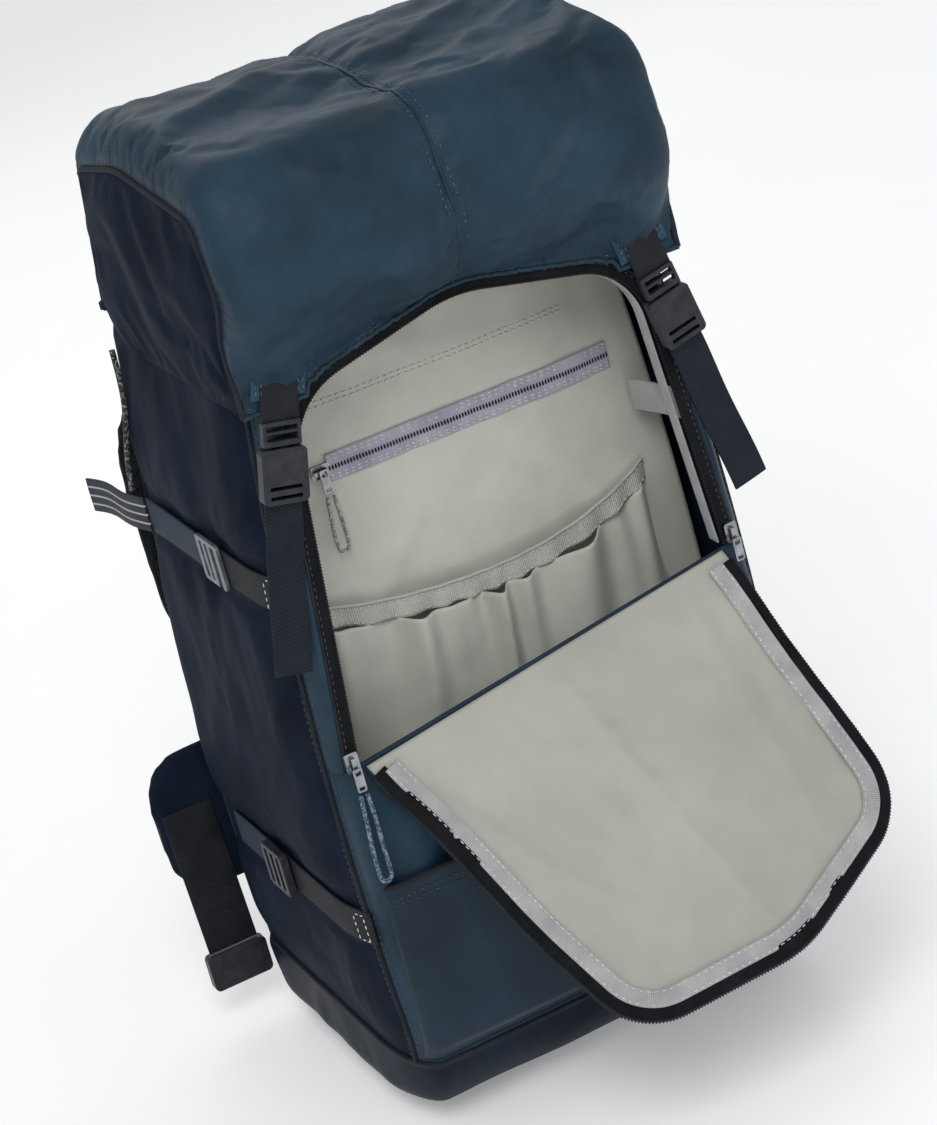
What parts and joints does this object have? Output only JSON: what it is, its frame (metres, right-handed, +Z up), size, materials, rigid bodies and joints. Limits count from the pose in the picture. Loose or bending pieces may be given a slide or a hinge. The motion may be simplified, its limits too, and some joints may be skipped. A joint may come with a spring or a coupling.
{
  "type": "travel backpack",
  "caption": "Tall travel backpack with a hinged lid, a drop-down front door over an organiser compartment, side compression straps, padded shoulder straps and hip wings.",
  "frame": {"origin": "on the flat underside of the base, in the middle of the pack's width", "axes": "+X to the right seen from the front, -Y to the front with the door, +Z up to the lid"},
  "size_m": [0.42, 0.4784, 0.704],
  "materials": {
    "shell_blue": "woven nylon pack cloth with a soft sheen, slate blue",
    "shell_dark": "woven nylon pack cloth, charcoal navy",
    "pocket_navy": "coated nylon, dark navy with a satin shine",
    "lining_grey": "coated polyester lining, warm light grey",
    "webbing_black": "woven nylon webbing",
    "webbing_grey": "woven nylon webbing with pale stripes",
    "mesh_black": "spacer mesh over closed-cell foam",
    "zip_tape_black": "knitted zip tape with a nylon coil",
    "zip_tape_grey": "knitted zip tape, lilac grey",
    "elastic_grey": "folded elastic binding",
    "cord_black": "braided elastic cord with pale flecks",
    "cord_blue": "braided nylon cord, blue grey",
    "cord_grey": "braided nylon cord, light grey",
    "acetal_black": "moulded acetal, fine matt texture",
    "hook_alloy": "die-cast alloy, tumbled satin",
    "slider_zinc": "die-cast zinc with a grey nickel finish",
    "frame_hdpe": "high-density polyethylene sheet",
    "stay_alloy": "extruded aluminium bar"
  },
  "bodies": {
    "pack": {"base_panel": "shell_dark", "front_panel": "shell_blue", "side_panel_left": "shell_dark", "side_panel_right": "shell_dark", "back_panel": "shell_dark", "compartment_roof": "lining_grey", "divider_wall": "lining_grey", "top_collar": "shell_dark", "inner_zip_tape": "zip_tape_grey", "inner_pocket_bag": "lining_grey", "elastic_pocket": "lining_grey", "elastic_band": "elastic_grey", "front_pocket": "shell_blue", "body_zip_tape": "zip_tape_black", "lid_hinge_strip": "webbing_black", "frame_sheet": "frame_hdpe", "lumbar_pad": "mesh_black", "sternum_buckle": "acetal_black", "side_cord_left": "cord_black", "side_cord_right": "cord_black", "body_straps": "webbing_black", "male_buckles": "acetal_black", "upper_straps": "webbing_grey", "lower_straps": "webbing_black", "hook_buckles": "hook_alloy", "ladder_locks": "acetal_black", "frame_stays": "stay_alloy", "back_pads": "mesh_black", "strap_webs": "webbing_black", "strap_locks": "acetal_black", "sternum_webs": "webbing_black", "shoulder_strap_left": "shell_blue", "shoulder_strap_right": "shell_blue"},
    "door": {"door_shell": "pocket_navy", "door_lining": "lining_grey", "door_zip_tape": "zip_tape_black", "door_binding": "elastic_grey"},
    "lid": {"lid_top": "shell_blue", "lid_rear_strip": "shell_dark", "lid_gusset_left": "shell_dark", "lid_gusset_right": "shell_dark", "lid_straps": "webbing_black"},
    "slider_left": {"door_slider_left": "slider_zinc"},
    "slider_right": {"door_slider_right": "slider_zinc"},
    "pull_left": {"door_tab_left": "slider_zinc", "door_cord_left": "cord_blue"},
    "pull_right": {"door_tab_right": "slider_zinc"},
    "inner_slider": {"pocket_slider": "slider_zinc"},
    "inner_pull": {"pocket_tab": "slider_zinc", "pocket_cord": "cord_grey"},
    "handle": {"haul_handle": "webbing_black"},
    "wing_left": {"hip_wing_left": "shell_dark", "hip_web_left": "webbing_black", "hip_buckle_left": "acetal_black"},
    "wing_right": {"hip_wing_right": "shell_dark", "hip_web_right": "webbing_black", "hip_buckle_right": "acetal_black"},
    "buckle_left": {"female_buckle_left": "acetal_black"},
    "buckle_right": {"female_buckle_right": "acetal_black"}
  },
  "joints": [
    {"name": "door_fold", "type": "hinge", "parent": "pack", "child": "door", "pos_m": [0, -0.14, 0.314], "axis": [0.9895, 0, 0.1444], "range_deg": [-144, 0]},
    {"name": "lid_open", "type": "hinge", "parent": "pack", "child": "lid", "pos_m": [0, 0.1085, 0.566], "axis": [-1, 0, 0], "range_deg": [0, 100]},
    {"name": "door_zip_left", "type": "slide", "parent": "pack", "child": "slider_left", "axis": [0.0849, 0, 0.9964], "range_m": [0, 0.14]},
    {"name": "door_zip_right", "type": "slide", "parent": "pack", "child": "slider_right", "axis": [-0.0849, 0, 0.9964], "range_m": [0, 0.095]},
    {"name": "door_pull_left", "type": "hinge", "parent": "slider_left", "child": "pull_left", "pos_m": [-0.1465, -0.1493, 0.296], "axis": [-1, 0, 0], "range_deg": [0, 150]},
    {"name": "door_pull_right", "type": "hinge", "parent": "slider_right", "child": "pull_right", "pos_m": [0.1444, -0.1493, 0.339], "axis": [-1, 0, 0], "range_deg": [0, 150]},
    {"name": "inner_zip", "type": "slide", "parent": "pack", "child": "inner_slider", "axis": [1, 0, 0], "range_m": [0, 0.19]},
    {"name": "inner_pull", "type": "hinge", "parent": "inner_slider", "child": "inner_pull", "pos_m": [-0.085, -0.0593, 0.456], "axis": [-1, 0, 0], "range_deg": [0, 140]},
    {"name": "haul_handle_lift", "type": "hinge", "parent": "pack", "child": "handle", "pos_m": [0, 0.112, 0.544], "axis": [1, 0, 0], "range_deg": [0, 120]},
    {"name": "hip_wing_left_wrap", "type": "hinge", "parent": "pack", "child": "wing_left", "pos_m": [-0.106, 0.159, 0.161], "axis": [0, 0, -1], "range_deg": [0, 95]},
    {"name": "hip_wing_right_wrap", "type": "hinge", "parent": "pack", "child": "wing_right", "pos_m": [0.106, 0.159, 0.161], "axis": [0, 0, 1], "range_deg": [0, 95]},
    {"name": "buckle_left_release", "type": "slide", "parent": "pack", "child": "buckle_left", "axis": [-0.213, 0, -0.977], "range_m": [0, 0.022]},
    {"name": "buckle_right_release", "type": "slide", "parent": "pack", "child": "buckle_right", "axis": [0.213, 0, -0.977], "range_m": [0, 0.022]}
  ]
}
